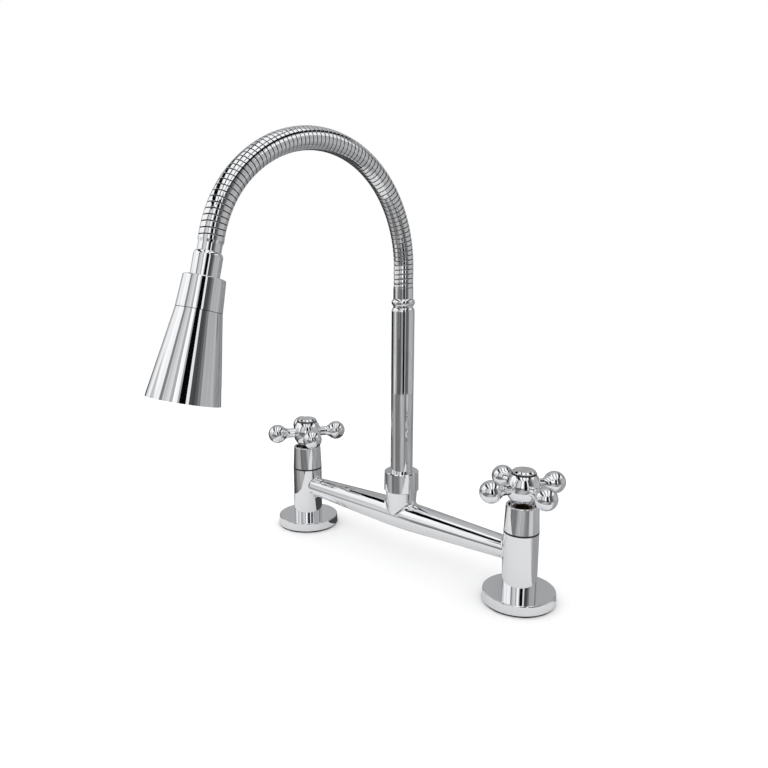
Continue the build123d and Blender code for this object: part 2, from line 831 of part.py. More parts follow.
# ---------------------------------------------------------------- assembly
def collect():
    parts = {}
    sides = (("hot", -1, hot_handle_angle), ("cold", 1, cold_handle_angle))
    for name, side, handle_angle in sides:
        place = Pos(side * half_spacing, 0, 0)
        pieces = {
            "gasket": gasket(),
            "flange": flange(),
            "pillar": pillar(-side),
            "deck_washer": deck_washer(),
            "back_nut": back_nut(),
            "seat_seal": seat_seal(),
            "lower_disc": lower_disc(),
            "upper_disc": upper_disc(),
            "cartridge": cartridge(),
            "spindle": spindle(),
            "stem_oring": stem_oring(),
            "skirt": skirt(),
            "handle": handle(handle_angle),
            "handle_screw": handle_screw(),
            "index_cap": index_cap(),
        }
        for piece, solid in pieces.items():
            parts[f"{name}_{piece}"] = place * solid
    parts["bridge"] = bridge()
    parts["spout_nut"] = spout_nut()
    parts["riser_bush"] = riser_bush()
    parts["riser_orings"] = riser_orings()
    parts["slip_ring"] = slip_ring()
    parts["riser"] = riser()
    parts["riser_ferrule"] = riser_ferrule()
    for index in range(1, hose_sections + 1):
        parts[f"hose_casing_{index}"] = hose_casing(index)
        parts[f"hose_liner_{index}"] = hose_liner(index)
    head_place = hose_at(hose_length).location
    head_pieces = {
        "head_ferrule": head_ferrule(),
        "head_collar": head_collar(),
        "head_washer": head_washer(),
        "spray_core": spray_core(),
        "core_clip": core_clip(),
        "spray_cone": spray_cone(),
        "spray_face": spray_face(),
        "jet_insert": jet_insert(),
    }
    for piece, solid in head_pieces.items():
        parts[piece] = head_place * solid
    return parts


os.makedirs("parts", exist_ok=True)
for node, solid in collect().items():
    export_step(solid, f"parts/{node}.step")
    print(node, round(solid.volume, 1))
print("hose length", round(hose_length, 2), "end", hose_at(hose_length).origin)
for hinge in range(1, hose_sections):
    print("hinge", hinge, hose_at(hinge_distance(hinge)).origin)
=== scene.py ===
# %% [markdown]
# # A bridge kitchen faucet in chrome
#
# The model comes from the workshop drawing: every casting, nut, disc and seal is already there at
# its real size. This lesson dresses it. We give each piece its finish, wind the flexible hose, cut
# the threads, and build a small photo studio round it, because polished chrome has no look of its
# own. It shows the room.
#
# The faucet stands on its deck at height zero, in metres. X runs along the bridge with the hot
# side at -X, and the spout reaches towards -Y.

from math import cos, pi, radians, sin

import bmesh
import bpy
from mathutils import Matrix, Vector


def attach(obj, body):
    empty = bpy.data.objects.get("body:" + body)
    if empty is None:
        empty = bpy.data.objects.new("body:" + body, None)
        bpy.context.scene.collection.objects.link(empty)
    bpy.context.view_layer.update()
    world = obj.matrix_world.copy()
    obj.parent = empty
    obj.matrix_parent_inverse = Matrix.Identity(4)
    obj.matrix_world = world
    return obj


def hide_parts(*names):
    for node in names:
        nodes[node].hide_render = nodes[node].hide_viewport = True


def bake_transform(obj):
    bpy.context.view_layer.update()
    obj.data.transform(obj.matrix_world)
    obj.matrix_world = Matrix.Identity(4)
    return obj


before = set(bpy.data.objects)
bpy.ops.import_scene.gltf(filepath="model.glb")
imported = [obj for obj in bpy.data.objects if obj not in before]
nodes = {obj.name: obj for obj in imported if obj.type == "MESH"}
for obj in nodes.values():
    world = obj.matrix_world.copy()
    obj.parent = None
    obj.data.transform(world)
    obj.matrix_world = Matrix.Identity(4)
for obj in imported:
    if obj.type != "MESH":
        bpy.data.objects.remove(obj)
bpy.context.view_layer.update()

# %% [markdown]
# ## The camera
#
# The photograph was taken from close by, about half a metre away, so the near handle looks larger
# than the far one. A lens that is too long would flatten that. We could place the camera by eye,
# but numbers are easier to mend: the place where it stands, the width of its lens and three
# angles. The angles are its turn round the faucet, its height above the horizon and its lean to
# the side. They follow one after the other, which is how a tripod head works.

# %% Set up the camera
MM = 0.001
camera_place = Vector((319.1, -388.6, 232.8)) * MM
camera_turn = radians(40.906)  # round the faucet, from straight in front
camera_height = radians(11.264)  # above the horizon, so it looks down by as much
camera_roll = radians(0.259)  # its lean to the side

lens = bpy.data.cameras.new("photo_lens")
lens.lens = 33.32  # focal length in millimetres
lens.sensor_width = 36.0  # millimetres
lens.clip_start = 0.01
camera = bpy.data.objects.new("photo_camera", lens)
bpy.context.scene.collection.objects.link(camera)
look = Matrix.Rotation(camera_turn, 4, "Z") @ Matrix.Rotation(pi / 2 - camera_height, 4, "X")
look = look @ Matrix.Rotation(camera_roll, 4, "Z")
camera.matrix_world = Matrix.Translation(camera_place) @ look
bpy.context.scene.camera = camera
print("camera stands", round(camera_place.length, 3), "m from the middle of the deck")

# %% [markdown]
# ## Helpers for wiring materials
#
# Every finish below is a small network of nodes. Written out in full, each would take a page, so
# two helpers keep them readable. One adds a node and fills in its inputs. The other starts a
# finish with its shader and the values that are the same all over the surface. Those constants go
# straight into the shader's own sockets.

# %% Make the wiring helpers
def add_node(tree, kind, **inputs):
    node = tree.nodes.new(kind)
    for name, value in inputs.items():
        socket = node.inputs[name.replace("_", " ")]
        if isinstance(value, bpy.types.NodeSocket):
            tree.links.new(value, socket)
        else:
            socket.default_value = value
    return node


def start_finish(name, colour, metallic, roughness):
    finish = bpy.data.materials.new(name)
    finish.use_nodes = True
    shader = finish.node_tree.nodes["Principled BSDF"]
    shader.inputs["Base Color"].default_value = (*colour, 1)
    shader.inputs["Metallic"].default_value = metallic
    shader.inputs["Roughness"].default_value = roughness
    return finish, finish.node_tree, shader


print("wiring helpers ready")

# %% [markdown]
# ## Helpers for uneven surfaces
#
# No real surface is the same all over. A painter would brush the difference on by hand. Here a
# soft random cloud in three dimensions stands for wear, grain and dust, and it needs no seams and
# no pictures. One helper makes the cloud. The other three let it steer the roughness, the colour
# or the height of the surface.

# %% Make the helpers for uneven surfaces
def cloud(tree, scale, detail=2.0, roughness=0.5, stretch=(1, 1, 1)):
    place = add_node(tree, "ShaderNodeTexCoord")
    across = add_node(tree, "ShaderNodeMapping", Vector=place.outputs["Object"], Scale=stretch)
    noise = add_node(tree, "ShaderNodeTexNoise", Vector=across.outputs["Vector"])
    noise.inputs["Scale"].default_value = scale
    noise.inputs["Detail"].default_value = detail
    noise.inputs["Roughness"].default_value = roughness
    return noise.outputs["Fac"]


def rough_between(tree, shader, field, smooth, dull):
    spread = add_node(tree, "ShaderNodeMapRange", Value=field, To_Min=smooth, To_Max=dull)
    tree.links.new(spread.outputs["Result"], shader.inputs["Roughness"])


def colour_between(tree, shader, field, one, other):
    mix = add_node(tree, "ShaderNodeMix")
    mix.data_type = "RGBA"
    tree.links.new(field, mix.inputs["Factor"])
    mix.inputs["A"].default_value = (*one, 1)
    mix.inputs["B"].default_value = (*other, 1)
    tree.links.new(mix.outputs["Result"], shader.inputs["Base Color"])


def raise_surface(tree, shader, field, depth):
    bump = add_node(tree, "ShaderNodeBump", Height=field, Distance=depth, Strength=1.0)
    tree.links.new(bump.outputs["Normal"], shader.inputs["Normal"])


print("helpers for uneven surfaces ready")

# %% [markdown]
# ## Helpers for the studio
#
# Polished chrome is a mirror, so most of its look is a picture of the room. We judge the tones of
# that room from 0 for black to 1 for white, but light adds up on another scale: a tone that looks
# half as bright needs only a fifth of the light. One helper turns the first into the second by the
# curve that every screen uses, and allows for the little light that the plating itself swallows.
# Another makes an object from a function that draws its mesh. We could add ready shapes and bend
# them, but a drawn mesh has its corners exactly where we want them.

# %% Make the helpers for tones and objects
plating_colour = (0.90, 0.91, 0.93)
plating_brightness = plating_colour[1]  # green stands for all three here
screen_offset = 0.055
screen_power = 2.4


def light_for(tone):
    light = ((tone + screen_offset) / (1 + screen_offset)) ** screen_power
    return light / plating_brightness


def make_object(name, mesh_maker, finish=None):
    mesh = bpy.data.meshes.new(name)
    build = bmesh.new()
    mesh_maker(build)
    build.to_mesh(mesh)
    build.free()
    made = bpy.data.objects.new(name, mesh)
    bpy.context.scene.collection.objects.link(made)
    if finish:
        mesh.materials.append(finish)
    return made


print("half as bright takes", round(light_for(0.5), 2), "of the light")

# %% [markdown]
# ## The studio: a white sheet on the table
#
# Low down, near the flanges, the chrome mirrors the white sheet it stands on, so the pillars look
# nearly plain. Higher up it mirrors what stands round the table. So the sheet has to end where a
# real one would. An endless floor would be simpler, but it would fill the chrome with white. The
# camera sees the sheet as white, with the soft shadow kept, and mirror rays see it a little
# greyer, as paper is. From below it is left out, so that the tails under the deck can be looked
# at.

# %% Lay the sheet
sheet_radius = 0.70
sheet_corners = 96
sheet_white = 1.0  # seen by the camera
sheet_grey = light_for(0.82)  # seen in the chrome

paper = bpy.data.materials.new("paper_sheet")
paper.use_nodes = True
wires = paper.node_tree
wires.nodes.clear()
rays = add_node(wires, "ShaderNodeLightPath")
shade = add_node(wires, "ShaderNodeMapRange", To_Min=sheet_grey, To_Max=sheet_white)
wires.links.new(rays.outputs["Is Camera Ray"], shade.inputs["Value"])
matt = add_node(wires, "ShaderNodeBsdfDiffuse", Color=shade.outputs["Result"])
face = add_node(wires, "ShaderNodeNewGeometry")
clear = add_node(wires, "ShaderNodeBsdfTransparent")
either = add_node(wires, "ShaderNodeMixShader", Fac=face.outputs["Backfacing"])
wires.links.new(matt.outputs["BSDF"], either.inputs[1])
wires.links.new(clear.outputs["BSDF"], either.inputs[2])
add_node(wires, "ShaderNodeOutputMaterial", Surface=either.outputs["Shader"])


def cut_round_sheet(build):
    bmesh.ops.create_circle(build, cap_ends=True, segments=sheet_corners, radius=sheet_radius)


sheet = make_object("paper_sheet", cut_round_sheet, paper)
print("sheet is", 2 * sheet_radius, "m across")

# %% [markdown]
# ## The studio: boards round the table
#
# A photographer sets white and grey boards round the set, and works from behind a dark camera.
# Each one draws a stripe down the riser and the spray head. We could paint these into the sky, but
# boards at a real distance move in the chrome as they should from piece to piece. Each board here
# is a strip of a wall round the table, given by the two compass directions between which it
# stands, in degrees to the right of the camera. Its cloth runs on over the table, up to a small
# white oval under the faucet, in a tone of its own. The oval reaches less far to the back, which
# is what darkens the left and right edges of the pillars. Only mirror rays see the boards and
# cloths, so they colour the chrome and nothing else.

# %% Choose the boards
wall_distance = 1.15
wall_foot = -0.45
wall_top = 1.10
foot_height = 0.13  # up to here the wall has the tone of its foot
near_cloth = 0.60  # so far from the middle the cloth changes its tone
# name: (left, right, tones of the wall, of its foot and the far cloth, of the near cloth)
boards = {
    "wall_left_back": (-180, -124, 0.62, 0.14, 0.26),
    "wall_left": (-124, -113, 0.80, 0.34, 0.42),
    "soft_box_left": (-113, -97, 0.97, 0.60, 0.60),
    "grey_side_left": (-97, -76, 0.80, 0.82, 0.66),
    "soft_box_front_left": (-76, -60, 0.90, 0.60, 0.44),
    "stand_front_left": (-60, -50, 0.50, 0.38, 0.50),
    "wall_front_left": (-50, -28, 0.80, 0.35, 0.46),
    "box_edge_front": (-28, -19, 0.64, 0.34, 0.56),
    "soft_box_front": (-19, -6, 0.99, 0.58, 0.68),
    "box_side_front": (-6, -1, 0.68, 0.60, 0.74),
    "camera_and_tripod": (-1, 17, 0.01, 0.03, 0.66),
    "white_strip_front": (17, 26, 0.90, 0.64, 0.52),
    "shade_front_right": (26, 41, 0.28, 0.36, 0.46),
    "stand_front_right": (41, 50, 0.36, 0.36, 0.72),
    "wall_front_right": (50, 60, 0.50, 0.44, 0.76),
    "grey_board_right": (60, 112, 0.68, 0.68, 0.62),
    "dark_edge_right": (112, 122, 0.46, 0.58, 0.50),
    "wall_right_back": (122, 180, 0.62, 0.56, 0.56),
}
print("boards", len(boards))

# %% [markdown]
# A board is never lit evenly, so its light is a little stronger in some soft, upright streaks than
# in others. Light of its own is simpler than a lamp for each board, and the render stays clean.

# %% Light a board
streak_size = 5
streak_stretch = (1, 1, 0.25)
dimmest, brightest = 0.82, 1.16  # shares of the board's own light


def lit_board(name, tone):
    board = bpy.data.materials.new(name)
    board.use_nodes = True
    tree = board.node_tree
    tree.nodes.clear()
    streaks = cloud(tree, streak_size, detail=2, stretch=streak_stretch)
    uneven = add_node(tree, "ShaderNodeMapRange", Value=streaks, From_Min=0.3, From_Max=0.7)
    uneven.inputs["To Min"].default_value = dimmest * light_for(tone)
    uneven.inputs["To Max"].default_value = brightest * light_for(tone)
    glow = add_node(tree, "ShaderNodeEmission", Strength=uneven.outputs["Result"])
    add_node(tree, "ShaderNodeOutputMaterial", Surface=glow.outputs["Emission"])
    return board


def hide_from_all_but_mirrors(board):
    board.visible_camera = False
    board.visible_diffuse = False
    board.visible_shadow = False
    board.visible_transmission = False


print("board light ready")

# %% [markdown]
# Each board is drawn as rows of corners, a few degrees apart. A row runs down the wall, then over
# the table to the edge of the oval. Between two rows go four faces: wall, foot, far cloth and near
# cloth.

# %% Stand the boards
cloth_height = 0.5 * MM
oval_middle = Vector((0.035, -0.010, cloth_height))
oval_half_x, oval_half_front, oval_half_back = 0.215, 0.130, 0.027
board_step = 4  # degrees between two rows
board_faces = ((0, 0), (1, 1), (3, 1), (4, 2))  # upper corner in the row, number of the tone


def sheet_edge(turn):
    half_y = oval_half_front if cos(turn) > 0 else oval_half_back
    reach = ((sin(turn) / oval_half_x) ** 2 + (cos(turn) / half_y) ** 2) ** -0.5
    return oval_middle + reach * Vector((sin(turn), -cos(turn), 0))


def compass(distance, direction):
    turn = camera_turn + radians(direction)
    return distance * sin(turn), -distance * cos(turn)


def stand_board(name, left, right, wall_tone, foot_tone, cloth_tone):
    def curve_wall(build):
        steps = max(2, round((right - left) / board_step))
        before = None
        for step in range(steps + 1):
            direction = left + (right - left) * step / steps
            x, y = compass(wall_distance, direction)
            places = [(x, y, height) for height in (wall_top, foot_height, wall_foot)]
            places.append((x, y, cloth_height))
            places.append((*compass(near_cloth, direction), cloth_height))
            places.append(sheet_edge(camera_turn + radians(direction)))
            points = [build.verts.new(place) for place in places]
            if before:
                for upper, tone_number in board_faces:
                    lower = upper + 1
                    corners = (before[upper], points[upper], points[lower], before[lower])
                    build.faces.new(corners).material_index = tone_number
            before = points

    board = make_object(name, curve_wall, lit_board(name, wall_tone))
    board.data.materials.append(lit_board(name + "_foot", foot_tone))
    board.data.materials.append(lit_board(name + "_cloth", cloth_tone))
    hide_from_all_but_mirrors(board)


for name, sides_and_tones in boards.items():
    stand_board(name, *sides_and_tones)
print("boards stand", wall_distance, "m from the middle")

# %% [markdown]
# Two white boxes stand higher than the rest, where the bridge and the hose mirror them as narrow
# bright lines. Over the table hangs a white panel between two dark rails that run from the camera
# to the back. The bridge mirrors the left rail as one black band, and the balls of the handles
# show both, left and right of the bright spot of the panel. Two grey bars under the panel split
# its reflection into three, as window bars do.

# %% Hang the high boxes, the panel and the rails
box_distance = wall_distance - 0.03  # just inside the wall
box_step = 5  # degrees
panel_height = 1.70
bar_height = 1.69
panel_along = (-0.55, 1.77)  # from behind the faucet to beyond the camera
rail_along = (-2.6, 2.2)


def stand_high_box(left, right, foot, top):
    def curve_box(build):
        before = None
        for direction in range(left, right + 1, box_step):
            x, y = compass(box_distance, direction)
            pair = [build.verts.new((x, y, z)) for z in (foot, top)]
            if before:
                build.faces.new((before[0], pair[0], pair[1], before[1]))
            before = pair

    return curve_box


def hang_flat(aside, along, height):
    def cut_flat(build):
        left, right = aside
        far, near = along
        for beside, forward in ((left, far), (right, far), (right, near), (left, near)):
            x = forward * sin(camera_turn) + beside * cos(camera_turn)
            y = -forward * cos(camera_turn) + beside * sin(camera_turn)
            build.verts.new((x, y, height))
        build.verts.ensure_lookup_table()
        build.faces.new(build.verts)

    return cut_flat


overhead = {  # name: (how it is made, tone)
    "high_box_left": (stand_high_box(-125, -60, 0.46, 1.12), 0.96),
    "high_box_right": (stand_high_box(70, 110, 0.70, 1.12), 0.93),
    "ceiling_panel": (hang_flat((-0.90, 0.90), panel_along, panel_height), 0.97),
    "panel_bar_left": (hang_flat((-0.48, -0.30), panel_along, bar_height), 0.20),
    "panel_bar_right": (hang_flat((0.28, 0.44), panel_along, bar_height), 0.30),
    "ceiling_rail_left": (hang_flat((-1.75, -1.00), rail_along, panel_height), 0.02),
    "ceiling_rail_right": (hang_flat((1.00, 1.60), rail_along, panel_height), 0.02),
}
for name, (maker, tone) in overhead.items():
    hide_from_all_but_mirrors(make_object(name, maker, lit_board(name, tone)))
print("hung", ", ".join(overhead))

# %% [markdown]
# ## The studio: ceiling and lamp
#
# Past the boards, mirror rays see a plain grey room, a little lighter overhead. The camera sees
# only white, and plain surfaces get an even white light. A picture of a real room wrapped round
# the faucet would do as well, but then nobody could say where a stripe in the chrome comes from.

# %% Hang the ceiling
room = bpy.data.worlds.new("studio")
bpy.context.scene.world = room
room.use_nodes = True
sky = room.node_tree
sky.nodes.clear()
even_light = 1.12
heights = [(0.0, 0.58), (0.40, 0.64), (0.75, 0.69), (1.0, 0.74)]  # (level to straight up, tone)
white = (1, 1, 1, 1)

towards = add_node(sky, "ShaderNodeTexCoord")
split = add_node(sky, "ShaderNodeSeparateXYZ", Vector=towards.outputs["Generated"])
ceiling = sky.nodes.new("ShaderNodeValToRGB")
sky.links.new(split.outputs["Z"], ceiling.inputs["Fac"])
stops = ceiling.color_ramp.elements
for stop, (height, tone) in zip(stops, (heights[0], heights[-1])):
    stop.position = height
    stop.color = (light_for(tone),) * 3 + (1,)
for height, tone in heights[1:-1]:
    stops.new(height).color = (light_for(tone),) * 3 + (1,)

rays = add_node(sky, "ShaderNodeLightPath")
seen_in_chrome = add_node(sky, "ShaderNodeBackground", Color=ceiling.outputs["Color"], Strength=1)
plain_white = add_node(sky, "ShaderNodeBackground", Color=white, Strength=1)
plain_light = add_node(sky, "ShaderNodeBackground", Color=white, Strength=even_light)
by_camera = add_node(sky, "ShaderNodeMixShader", Fac=rays.outputs["Is Camera Ray"])
sky.links.new(plain_light.outputs["Background"], by_camera.inputs[1])
sky.links.new(plain_white.outputs["Background"], by_camera.inputs[2])
by_mirror = add_node(sky, "ShaderNodeMixShader", Fac=rays.outputs["Is Glossy Ray"])
sky.links.new(by_camera.outputs["Shader"], by_mirror.inputs[1])
sky.links.new(seen_in_chrome.outputs["Background"], by_mirror.inputs[2])
add_node(sky, "ShaderNodeOutputWorld", Surface=by_mirror.outputs["Shader"])
bpy.context.scene.view_settings.view_transform = "Standard"
print("even light", even_light)

# %% [markdown]
# One wide lamp from the left adds a soft shadow on the sheet. The wider a lamp, the softer the
# shadow. The chrome must not mirror it as a bright disc, so mirror rays pass it by.

# %% Hang the lamp
lamp_target = Vector((0, 0, 0.1))
soft_lamp = bpy.data.lights.new("soft_lamp", "AREA")
soft_lamp.shape = "DISK"
soft_lamp.size = 0.8
soft_lamp.energy = 1.1
lamp = bpy.data.objects.new("soft_lamp", soft_lamp)
bpy.context.scene.collection.objects.link(lamp)
lamp.location = (-0.5, -0.45, 0.95)
lamp.rotation_euler = (lamp_target - lamp.location).to_track_quat("-Z", "Y").to_euler()
lamp.visible_glossy = False
print("lamp energy", soft_lamp.energy, "W")

# %% [markdown]
# ## Polished chrome
#
# The castings and tubes are brass, ground, polished and plated with nickel and a thin film of
# chrome. The film is bright and very slightly blue, and nearly a perfect mirror. What tells a real
# casting from a drawn one is that the polishing wheel leaves the surface gently wavy, so straight
# stripes wander, with a few specks and dried water marks. A low bump from a large soft cloud gives
# the waves, and a second, sharper cloud changes the roughness in spots. Turned tubes are truer
# than castings, so each piece gets its own share of waviness.

# %% Mix the chrome
def chrome(name, wave, wave_size, spots=0.05, base=0.03):
    finish, tree, shader = start_finish(name, plating_colour, metallic=1.0, roughness=base)
    marks = cloud(tree, scale=900, detail=3, roughness=0.6)
    sharper = add_node(tree, "ShaderNodeMapRange", Value=marks, From_Min=0.60, From_Max=0.72)
    rough_between(tree, shader, sharper.outputs["Result"], base, base + spots)
    raise_surface(tree, shader, cloud(tree, scale=1 / wave_size, detail=1.0), wave)
    return finish


cast_chrome = chrome("cast_chrome", wave=0.12 * MM, wave_size=14 * MM)
turned_chrome = chrome("turned_chrome", wave=0.03 * MM, wave_size=20 * MM)
print("chrome finishes", cast_chrome.name, turned_chrome.name)

# %% [markdown]
# ## Brass and steel
#
# The working pieces are not plated. The stem and the cartridge are turned brass with fine rings
# from the lathe. Deep in the skirt they lie in shade, and their colour is darkened to brown as
# painted shade, as far as one can see into the skirt.
# The washers are brushed steel. Each could be one flat colour, but even small pieces look made of
# something once their grain is there. The marks of a tool run one way, so the cloud is squeezed
# hard along one axis: up and down for the rings of the lathe, front to back for the brush.

# %% Mix the brass and the steel
lathe_grain = (60, 60, 4000)
brush_grain = (200, 4000, 200)


def tool_marks(tree, shader, grain, depth, smooth, dull):
    place = add_node(tree, "ShaderNodeTexCoord")
    along = add_node(tree, "ShaderNodeMapping", Vector=place.outputs["Object"], Scale=grain)
    marks = add_node(tree, "ShaderNodeTexNoise", Vector=along.outputs["Vector"], Scale=1.0)
    rough_between(tree, shader, marks.outputs["Fac"], smooth, dull)
    raise_surface(tree, shader, marks.outputs["Fac"], depth)


def brass_finish(name, light_side, dark_side):
    finish, tree, shader = start_finish(name, light_side, metallic=1.0, roughness=0.3)
    tool_marks(tree, shader, lathe_grain, 0.03 * MM, smooth=0.22, dull=0.42)
    colour_between(tree, shader, cloud(tree, scale=250, detail=3), light_side, dark_side)
    return finish


def steel_finish(name, colour):
    finish, tree, shader = start_finish(name, colour, metallic=1.0, roughness=0.35)
    tool_marks(tree, shader, brush_grain, 0.02 * MM, smooth=0.28, dull=0.48)
    return finish


brass = brass_finish("turned_brass", (0.76, 0.50, 0.25), (0.60, 0.34, 0.16))
# painted shade: brass darkened for the stem and cartridge that lie in shade inside the skirt
shade_darkened_brass = brass_finish("shade_darkened_brass", (0.20, 0.12, 0.06), (0.10, 0.06, 0.03))
steel = steel_finish("brushed_steel", (0.58, 0.58, 0.60))
print("metals", brass.name, shade_darkened_brass.name, steel.name)

# %% [markdown]
# ## Rubber, ceramic and plastics
#
# The seals are black rubber with a dull grain. The sealing discs are pale ceramic, lapped so flat
# that they have no grain to feel, only fine specks. The plate of the spray head and the slip ring
# are plastics from a mould. A painted picture could carry these marks, but they are far too fine
# for one, so each finish takes one fine cloud for its grain and one coarse cloud for its colour.

# %% Mix the rubber, the ceramic and the plastics
def rubber_finish(name, colour, worn, fresh):
    finish, tree, shader = start_finish(name, colour, metallic=0.0, roughness=0.7)
    grain = cloud(tree, scale=2500, detail=2)
    rough_between(tree, shader, grain, smooth=0.6, dull=0.85)
    raise_surface(tree, shader, grain, 0.03 * MM)
    colour_between(tree, shader, cloud(tree, scale=300, detail=2), worn, fresh)
    return finish


def ceramic_finish(name, colour, light_side, dark_side):
    finish, tree, shader = start_finish(name, colour, metallic=0.0, roughness=0.2)
    specks = cloud(tree, scale=3000, detail=2)
    rough_between(tree, shader, specks, smooth=0.15, dull=0.3)
    colour_between(tree, shader, cloud(tree, scale=700, detail=3), light_side, dark_side)
    return finish


def plastic_finish(name, one, other, smooth, dull):
    finish, tree, shader = start_finish(name, one, metallic=0.0, roughness=smooth)
    grain = cloud(tree, scale=1800, detail=2)
    rough_between(tree, shader, grain, smooth, dull)
    raise_surface(tree, shader, grain, 0.02 * MM)
    colour_between(tree, shader, cloud(tree, scale=400, detail=2), one, other)
    return finish


black = (0.012, 0.012, 0.013)
rubber = rubber_finish("black_rubber", black, (0.010, 0.010, 0.011), (0.022, 0.021, 0.020))
pale = (0.85, 0.84, 0.80)
ceramic = ceramic_finish("lapped_ceramic", pale, (0.86, 0.85, 0.82), (0.80, 0.78, 0.74))
grey_plastic = plastic_finish("grey_plastic", (0.16, 0.165, 0.17), (0.13, 0.135, 0.14), 0.35, 0.5)
white_plastic = plastic_finish("white_plastic", (0.82, 0.82, 0.80), (0.76, 0.76, 0.74), 0.3, 0.45)
print("others", rubber.name, ceramic.name, grey_plastic.name, white_plastic.name)

# %% [markdown]
# ## Give every piece its finish
#
# Each piece from the drawing keeps its shape and gets one finish. Castings and forgings that were
# polished by hand get the wavy chrome, tubes and nuts from the lathe the truer one. We could give
# each of the pieces its finish in a line of its own. But the hot and the cold side are alike, and
# so are the sections of the hose, so one table of kinds does for all of them.

# %% Dress the pieces from the drawing
finishes = {
    "gasket": rubber,
    "flange": turned_chrome,
    "pillar": cast_chrome,
    "deck_washer": steel,
    "back_nut": brass,
    "seat_seal": rubber,
    "lower_disc": ceramic,
    "upper_disc": ceramic,
    "cartridge": shade_darkened_brass,
    "spindle": shade_darkened_brass,
    "stem_oring": rubber,
    "skirt": turned_chrome,
    "handle": cast_chrome,
    "handle_screw": steel,
    "index_cap": turned_chrome,
    "bridge": cast_chrome,
    "spout_nut": turned_chrome,
    "riser_bush": brass,
    "riser_orings": rubber,
    "slip_ring": white_plastic,
    "riser": turned_chrome,
    "riser_ferrule": turned_chrome,
    "hose_casing": turned_chrome,
    "hose_liner": rubber,
    "head_ferrule": turned_chrome,
    "head_collar": turned_chrome,
    "head_washer": rubber,
    "spray_core": brass,
    "core_clip": steel,
    "spray_cone": turned_chrome,
    "spray_face": grey_plastic,
    "jet_insert": white_plastic,
}
for node_name, node in nodes.items():
    kind = node_name.removeprefix("hot_").removeprefix("cold_").rstrip("_1234567")
    node.data.materials.clear()
    node.data.materials.append(finishes[kind])
print("dressed", len(nodes), "pieces with", len(set(finishes.values())), "finishes")

# %% [markdown]
# ## Wind the flexible hose
#
# The hose is one long strip of chromed steel, wound round and round into a tube. Each turn hooks
# into the turn before it, so the tube can bend and still hides its seam. From outside that gives
# nearly flat bands, a little over three millimetres wide, with a thin dark line between them. We
# could build one straight tube and bend it with a curve modifier, but then the width of the bands
# would be hard to keep. Here the strip itself is built: one column of points across the strip,
# then the next column a small step further round and along.
#
# First comes the line that the hose follows, as in the drawing: a short straight, three bends that
# make the arch, and a last straight into the head. For any distance along it, one function gives
# the place, and the direction that points out of the bend.

# %% Lay out the line of the hose
hose_foot = 201.6 * MM
bend_radii = (77.4 * MM, 86.5 * MM, 70.5 * MM)
bend_angles = (radians(71.4), radians(60.8), radians(33.2))
hose_runs = [(13.5 * MM, None)]
hose_runs += [(angle * radius, radius) for angle, radius in zip(bend_angles, bend_radii)]
hose_runs += [(3.0 * MM, None)]
hose_length = sum(length for length, bend in hose_runs)


def hose_at(distance):
    y, z, heading = 0.0, hose_foot, 0.0
    left = distance
    for index, (length, bend) in enumerate(hose_runs):
        step = left if index == len(hose_runs) - 1 else min(left, length)
        if bend is None:
            y -= step * sin(heading)
            z += step * cos(heading)
        else:
            turn = step / bend
            y += bend * (cos(heading + turn) - cos(heading))
            z += bend * (sin(heading + turn) - sin(heading))
            heading += turn
        left -= step
        if left <= 0:
            break
    outward = Vector((0, cos(heading), sin(heading)))
    return Vector((0, y, z)), outward


print("hose length", round(hose_length, 4), "m")

# %% [markdown]
# The strip has its own cross-section: a nearly flat band, rounded edges, and a narrow floor where
# two turns hook together. Numbers across the strip are shares of one turn's width. The floor gets
# a darker finish, because no light comes back out of so thin a gap. A hollow shaped for real would
# do that too, but it would need many more points in each of the turns.

# %% Shape the strip
band_radius = 6.9 * MM
crown = 0.014 * MM
shoulder = crown * 0.8
rounding = 0.06 * MM
floor_radius = 6.35 * MM
strip_profile = (
    (0.00, floor_radius),
    (0.16, floor_radius),
    (0.165, band_radius - rounding),
    (0.195, band_radius),
    (0.36, band_radius + shoulder),
    (0.57, band_radius + crown),
    (0.78, band_radius + shoulder),
    (0.965, band_radius),
    (0.995, band_radius - rounding),
    (1.00, floor_radius),
)
dark_faces = (0, 1, len(strip_profile) - 2)  # the floor and the two walls beside it

dark_seam, seam_tree, seam_shader = start_finish("hose_seam", (0.03, 0.03, 0.033), 1.0, 0.45)
seam_dust = cloud(seam_tree, scale=900, detail=2)
rough_between(seam_tree, seam_shader, seam_dust, smooth=0.40, dull=0.60)
hose_chrome = chrome("hose_chrome", wave=0.01 * MM, wave_size=6 * MM, spots=0.08, base=0.05)
print("strip has", len(strip_profile), "points across")

# %% [markdown]
# Now the strip is wound. Each step round the hose adds one cross-section, and faces join it to the
# one before. A wound strip starts and ends on a slant. The ferrules need a square end, so the
# strip begins one turn too early and stops one turn too late, and whatever lies beyond the ends is
# pressed flat against them.

# %% Wind the strip
turns = 76
points_round = 40
across = Vector((1, 0, 0))
pitch = hose_length / turns


def along_strip(column, share):
    return min(max(pitch * (column / points_round + share), 0.0), hose_length)


def wind_piece(build, first, last):
    before = None
    for column in range(first, last + 1):
        around = 2 * pi * column / points_round
        points = []
        for share, radius in strip_profile:
            middle, outward = hose_at(along_strip(column, share))
            aside = cos(around) * across + sin(around) * outward
            points.append(build.verts.new(middle + radius * aside))
        if before:
            for low in range(len(points) - 1):
                high = low + 1
                face = build.faces.new((before[low], points[low], points[high], before[high]))
                face.material_index = 1 if low in dark_faces else 0
                face.smooth = True
        before = points


print("one turn is", round(pitch / MM, 2), "mm wide")
